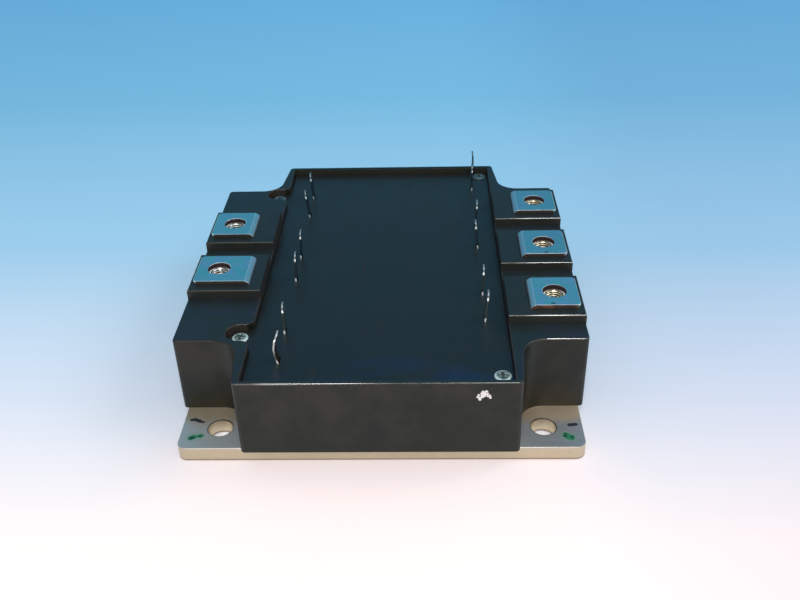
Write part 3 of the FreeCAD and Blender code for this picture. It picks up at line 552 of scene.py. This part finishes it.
def nut_steel():
    """Plated nut, golden in its thread, darker between the turns, with painted shade deep in the bore and
    under the strip.
    """
    material, place = finish("nut_steel")
    x, y, z = axes(place)
    reach = nearest(x, y, STRIP_HOLES)
    haze = noise(place, 1.2, 4)
    rightward = ramp(x, -20, 20)
    thread = 1 - ramp(reach, THREAD_RADIUS, THREAD_RADIUS + 0.06)
    root = ramp(reach, THREAD_RADIUS - 0.36, THREAD_RADIUS - 0.14) * thread
    depth = ramp(z, NUT_TOP - 1.3, NUT_TOP - 3.0)
    under_strip = ramp(reach, 2.8, 3.05)
    under_far_edge = ramp(nearest(x, y + 0.9, STRIP_HOLES), HOLE_RADIUS, HOLE_RADIUS + 0.25)

    face_left, face_right, face_dull = (0.8, 0.92, 0.92), (1.0, 0.93, 0.8), (0.6, 0.6, 0.56)
    thread_left, thread_right = (0.85, 0.88, 0.86), (0.9, 0.8, 0.58)
    root_dark, deep_shade_brown = (0.06, 0.04, 0.02), (0.08, 0.06, 0.05)
    shadow, far_shadow = (0.04, 0.03, 0.03), (0.04, 0.025, 0.025)
    colour = blend(haze * 0.4, blend(rightward, face_left, face_right), face_dull)
    colour = blend(thread, colour, blend(rightward, thread_left, thread_right))
    # The thread's roots are darker.
    colour = blend(root * 0.9, colour, root_dark)
    # Painted shade: darker deep in the bore.
    colour = blend(depth * 0.8, colour, deep_shade_brown)
    colour = blend(under_strip * 0.9, colour, shadow)
    colour = blend(under_far_edge * 0.9, colour, far_shadow)
    metal = 0.3 + thread * 0.6
    rough = 0.26 + haze * 0.16
    feed(material, Base_Color=colour, Metallic=metal, Roughness=rough, Normal=bumps(haze, 0.01, 0.4))
    return material


def screw_zinc():
    """Zinc-plated screw, grey and slightly pitted, darker low in its cross, with a painted highlight on its
    rim and painted shade on the back screws.
    """
    material, place = finish("screw_zinc")
    x, y, z = axes(place)
    reach = nearest(x, y, SCREW_AXES)
    haze = noise(place, 0.9, 5, 0.65)
    pits = ramp(noise(place, 0.35, 4, 0.7), 0.58, 0.72)
    low_in_head = ramp(z, LID_TOP + 0.55, LID_TOP + 0.35)
    rim = ramp(reach + (haze - 0.5) * 0.9, 1.55, 1.85)
    back = ramp(y, 0, 20)

    zinc_dark, zinc_light, rim_highlight_pale = (0.045, 0.08, 0.085), (0.24, 0.31, 0.31), (0.5, 0.63, 0.61)
    pit_grey, back_shade_teal, cross_dark_grey = (0.12, 0.13, 0.12), (0.03, 0.075, 0.09), (0.03, 0.035, 0.035)
    colour = blend(ramp(haze, 0.4, 0.6), zinc_dark, zinc_light)
    # Painted highlight: the rim is painted pale.
    colour = blend(rim, colour, rim_highlight_pale)
    colour = blend(pits * 0.4, colour, pit_grey)
    # Painted shade: the back screws are painted darker teal.
    colour = blend(back * 0.92, colour, back_shade_teal)
    # Darker low in the head, in its cross.
    colour = blend(low_in_head * (1 - rim) * 0.85, colour, cross_dark_grey)
    metal = 0.35 + haze * 0.1
    rough = 0.36 + haze * 0.2
    feed(material, Base_Color=colour, Metallic=metal, Roughness=rough, Normal=bumps(haze - pits, 0.02, 0.5))
    return material


def tile_ceramic():
    """White ceramic with copper laid on both faces."""
    material, place = finish("tile_ceramic")
    z = axes(place)[2]
    copper = ramp(abs(z - TILE_LEVEL), 0.29, 0.31)
    speck = noise(place, 0.6, 4)
    white_dark, white_light, copper_red = (0.78, 0.76, 0.7), (0.86, 0.85, 0.8), (0.72, 0.38, 0.24)
    colour = blend(copper, blend(speck, white_dark, white_light), copper_red)
    rough = 0.6 - copper * 0.3
    feed(material, Base_Color=colour, Metallic=copper, Roughness=rough, Normal=bumps(speck, 0.01, 0.4))
    return material


def chip_silicon():
    """Polished silicon with a fine metal grid."""
    material, place = finish("chip_silicon")
    lines = noise(place, 0.4, 2, 0.5, (1, 0.1, 1))
    grid = ramp(lines, 0.45, 0.55)
    colour = blend(grid, (0.2, 0.21, 0.25), (0.55, 0.55, 0.57))
    feed(material, Base_Color=colour, Metallic=grid, Roughness=0.2 + lines * 0.1)
    return material


def wire_aluminium():
    """Drawn aluminium wire."""
    material, place = finish("wire_aluminium", Metallic=1.0)
    haze = noise(place, 0.4, 3)
    colour = blend(haze, (0.78, 0.78, 0.79), (0.9, 0.9, 0.9))
    feed(material, Base_Color=colour, Roughness=0.25 + haze * 0.15)
    return material


def gel_clear():
    """Soft cloudy gel."""
    material, place = finish("gel_clear", IOR=1.41, Transmission_Weight=0.8)
    haze = noise(place, 6, 4)
    colour = blend(haze, (0.78, 0.8, 0.76), (0.88, 0.9, 0.87))
    feed(material, Base_Color=colour, Roughness=0.1 + haze * 0.1)
    return material


# Pieces

def wear(node, material):
    """Put a finish on a CAD node."""
    slots = nodes[node].data.materials
    slots.clear()
    slots.append(material)


def add_piece(name, shape, material, slot, *replaced):
    """Finished piece from a bmesh, riding on the one body."""
    mesh = bpy.data.meshes.new(name)
    shape.to_mesh(mesh)
    shape.free()
    mesh.materials.append(material)
    mesh.polygons.foreach_set("use_smooth", [True] * len(mesh.polygons))
    mesh.set_sharp_from_angle(angle=math.radians(38))
    piece = bpy.data.objects.new(name, mesh)
    scene.collection.objects.link(piece)
    flat = piece.modifiers.new("flat_faces", "WEIGHTED_NORMAL")
    flat.weight = 100
    flat.keep_sharp = True
    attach(piece, "root")
    if replaced:
        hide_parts(*replaced)
    return piece


def eased_copy(node, width, segments=2):
    """Copy of a CAD node with its hard edges slightly rounded."""
    shape = bmesh.new()
    shape.from_mesh(nodes[node].data)
    bmesh.ops.remove_doubles(shape, verts=shape.verts, dist=SAME_PLACE)
    bmesh.ops.dissolve_limit(
        shape, angle_limit=math.radians(0.5), verts=shape.verts, edges=shape.edges, delimit={"NORMAL"}
    )
    hard_angle = math.radians(35)
    hard = [edge for edge in shape.edges if len(edge.link_faces) == 2 and edge.calc_face_angle() > hard_angle]
    bmesh.ops.bevel(
        shape, geom=hard, offset=width * MM, offset_type="OFFSET", segments=segments, profile=0.5,
        affect="EDGES", material=-1, clamp_overlap=True,
    )
    return shape


def turned(profile, centre, steps=48, ring=True):
    """Shape swept about an upright axis from a profile of radius and height, closed where it is a ring."""
    shape = bmesh.new()
    points = [shape.verts.new((centre[0] + r * MM, centre[1], centre[2] + z * MM)) for r, z in profile]
    pairs = list(zip(points, points[1:])) + ([(points[-1], points[0])] if ring else [])
    edges = [shape.edges.new(pair) for pair in pairs]
    bmesh.ops.spin(
        shape, geom=points + edges, cent=(centre[0], centre[1], 0), axis=(0, 0, 1),
        angle=math.tau, steps=steps, use_merge=True,
    )
    bmesh.ops.remove_doubles(shape, verts=shape.verts, dist=SAME_PLACE)
    bmesh.ops.recalc_face_normals(shape, faces=shape.faces)
    return shape


def add_lid_screw(node, material):
    """Lid screw whose flat head is turned to a low dome, with its cross left in it."""
    low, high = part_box(node)
    centre = ((low.x + high.x) / 2, (low.y + high.y) / 2, low.z)
    radius = (high.x - low.x) / 2 / MM
    tall = (high.z - low.z) / MM
    spare, fall = 0.2, 0.42
    dome = [(0, -spare), (radius + spare, -spare), (radius + spare, tall - fall - spare)]
    dome.append((radius - 0.02, tall - fall - 0.08))
    dome += [(radius * share, tall - fall * share ** 2.4) for share in (0.93, 0.84, 0.72, 0.56, 0.38, 0.2)]
    dome.append((0, tall))
    blanks = []
    for shape in (eased_copy(node, 0.02, 1), turned(dome, centre, 64, ring=False)):
        mesh = bpy.data.meshes.new(node + "_blank")
        shape.to_mesh(mesh)
        shape.free()
        blank = bpy.data.objects.new(node + "_blank", mesh)
        scene.collection.objects.link(blank)
        blanks.append(blank)
    turning = blanks[0].modifiers.new("dome", "BOOLEAN")
    turning.operation = "INTERSECT"
    turning.object = blanks[1]
    view = bpy.context.evaluated_depsgraph_get()
    mesh = bpy.data.meshes.new_from_object(blanks[0].evaluated_get(view))
    shape = bmesh.new()
    shape.from_mesh(mesh)
    bpy.data.meshes.remove(mesh)
    for blank in blanks:
        bpy.data.meshes.remove(blank.data)
    add_piece(node + "_domed", shape, material, "screw_steel", node)


def add_nut(node, material):
    """Nut with a chamfered hexagon and a threaded bore."""
    low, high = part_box(node)
    centre = ((low.x + high.x) / 2, (low.y + high.y) / 2, low.z)
    top = (high.z - low.z) / MM
    corner = (high.y - low.y) / 2 / MM
    flats = corner * math.sqrt(3) / 2
    pitch, crest, lead_in, chamfer, end_room = 0.8, 2.07, 0.45, 0.36, 0.3
    mouth, root, face_edge = THREAD_RADIUS + 0.02, THREAD_RADIUS - 0.05, flats - 0.05
    one_turn = ((crest, 0.12), (root, 0.42), (root, 0.5), (crest, pitch))
    thread = [(mouth, 0.0), (crest, lead_in)]
    height = lead_in
    while height + pitch < top - end_room:
        thread += [(radius, height + rise) for radius, rise in one_turn]
        height += pitch
    thread += [(crest, top - lead_in), (mouth, top)]
    outer = [(face_edge, top), (corner, top - chamfer), (corner, chamfer), (face_edge, 0.0)]
    shape = turned(thread + outer, centre)
    for side in range(6):
        angle = math.radians(60 * side)
        out = Vector((math.cos(angle), math.sin(angle), 0))
        cut = bmesh.ops.bisect_plane(
            shape, geom=shape.verts[:] + shape.edges[:] + shape.faces[:], dist=1e-7,
            plane_co=Vector(centre) + out * flats * MM, plane_no=out, clear_outer=True,
        )
        rim = [item for item in cut["geom_cut"] if isinstance(item, bmesh.types.BMEdge)]
        bmesh.ops.edgeloop_fill(shape, edges=rim)
    bmesh.ops.recalc_face_normals(shape, faces=shape.faces)
    add_piece(node + "_threaded", shape, material, "nut_steel", node)


finishes = {
    "base_metal": plate_nickel(),
    "case_plastic": case_black(),
    "lid_plastic": lid_black(),
    "terminal_metal": strip_nickel(),
    "nut_steel": nut_steel(),
    "tab_metal": tab_tin(),
    "screw_steel": screw_zinc(),
    "ceramic": tile_ceramic(),
    "silicon": chip_silicon(),
    "wire_metal": wire_aluminium(),
    "gel": gel_clear(),
}
for part in frame["record"]["subparts"]:
    wear(part["node"], finishes[part["material_slot"]])
for node, nut in zip(TERMINALS, NUTS):
    add_piece(node + "_strip", eased_copy(node, 0.14), finishes["terminal_metal"], "terminal_metal", node)
    add_nut(nut, finishes["nut_steel"])
for node in TABS:
    add_piece(node + "_blade", eased_copy(node, 0.06), finishes["tab_metal"], "tab_metal", node)
for node in LID_SCREWS:
    add_lid_screw(node, finishes["screw_steel"])


# Floor, light and camera

def add_floor():
    """Pale floor: white and warm in front, light blue behind, a little darker to the right, with a painted
    warm glow just in front of the module.
    """
    grid = bmesh.new()
    bmesh.ops.create_grid(grid, x_segments=1, y_segments=1, size=4.0)
    mesh = bpy.data.meshes.new("floor")
    grid.to_mesh(mesh)
    grid.free()
    floor = bpy.data.objects.new("floor", mesh)
    floor.location.z = -0.2 * MM
    scene.collection.objects.link(floor)
    material, place = finish("pale_floor", Roughness=0.85, Specular_IOR_Level=0.2, Emission_Strength=1.0)
    x, y = axes(place)[:2]
    stops = (
        (0.0, srgb(244, 234, 232)),
        (0.12, srgb(206, 216, 231)),
        (0.3, srgb(152, 197, 225)),
        (0.62, srgb(115, 182, 219)),
        (1.0, srgb(105, 180, 226)),
    )
    share = y.node("MapRange", {}, {"Value": y, "From Min": -90, "From Max": 380})
    colour = share.node("ValToRGB", {"stops": stops}, {"Fac": share})
    right = blend(ramp(x, 20, 120), (0.97, 0.98, 0.97), (0.87, 0.86, 0.88))
    colour = colour.node("VectorMath", {"operation": "MULTIPLY"}, {0: colour, 1: right}, "Vector")
    # Painted light: a warm glow on the floor just in front of the module, seen only by the camera.
    near = ramp(y, -100, -68) * (1 - ramp(y, -60, -48)) * (1 - ramp(abs(x), 35, 75))
    glow = near * place.node("LightPath", output="Is Camera Ray")
    feed(material, Base_Color=colour, Emission_Color=blend(glow, (0, 0, 0), (0.15, 0.045, 0.012)))
    mesh.materials.append(material)


def add_world():
    """Even pale light. What is mirrored sees a blue sky behind the module and a paler one beside it."""
    world = bpy.data.worlds.new("soft_room")
    scene.world = world
    world.use_nodes = True
    direction = Wire(world.node_tree).node("TexCoord", output="Generated")
    across, along = split(direction)[:2]
    sky = blend(ramp(along, -0.5, 0.55), (0.58, 0.6, 0.515), (0.12, 0.5, 0.78))
    sky = blend(ramp(abs(across), 0.4, 0.85) * 0.6, sky, (0.55, 0.62, 0.68))
    colour = blend(direction.node("LightPath", output="Is Glossy Ray"), (0.92, 0.95, 1.0), sky)
    background = world.node_tree.nodes["Background"]
    world.node_tree.links.new(colour.socket, background.inputs["Color"])
    background.inputs["Strength"].default_value = 0.62


def add_lamp(name, place, size, power):
    """Square soft lamp that faces the module, a little above the floor."""
    lamp = bpy.data.lights.new(name, "AREA")
    lamp.size = size
    lamp.energy = power
    holder = bpy.data.objects.new(name, lamp)
    holder.location = place
    holder.rotation_euler = (Vector((0, 0, 0.01)) - Vector(place)).to_track_quat("-Z", "Y").to_euler()
    scene.collection.objects.link(holder)


def add_camera():
    """Camera that sees the module as the photograph does."""
    camera = bpy.data.objects.new("camera", bpy.data.cameras.new("camera"))
    camera.data.sensor_width = 36
    camera.data.lens = 41.13
    camera.data.clip_start = 0.01
    place = Matrix.Translation((0.012338, -0.238683, 0.165312))
    turns = ((1.97086, "Z"), (-33.02766, "X"), (1.56118, "Y"), (90, "X"))
    for degrees, axis in turns:
        place = place @ Matrix.Rotation(math.radians(degrees), 4, axis)
    camera.matrix_world = place
    scene.collection.objects.link(camera)
    scene.camera = camera


add_floor()
add_world()
add_lamp("front_softbox", (0.03, -0.75, 0.95), 0.42, 9.5)
add_lamp("side_softbox", (0.8, 0.1, 0.8), 0.5, 2.5)
add_camera()
scene.view_settings.view_transform = "Standard"
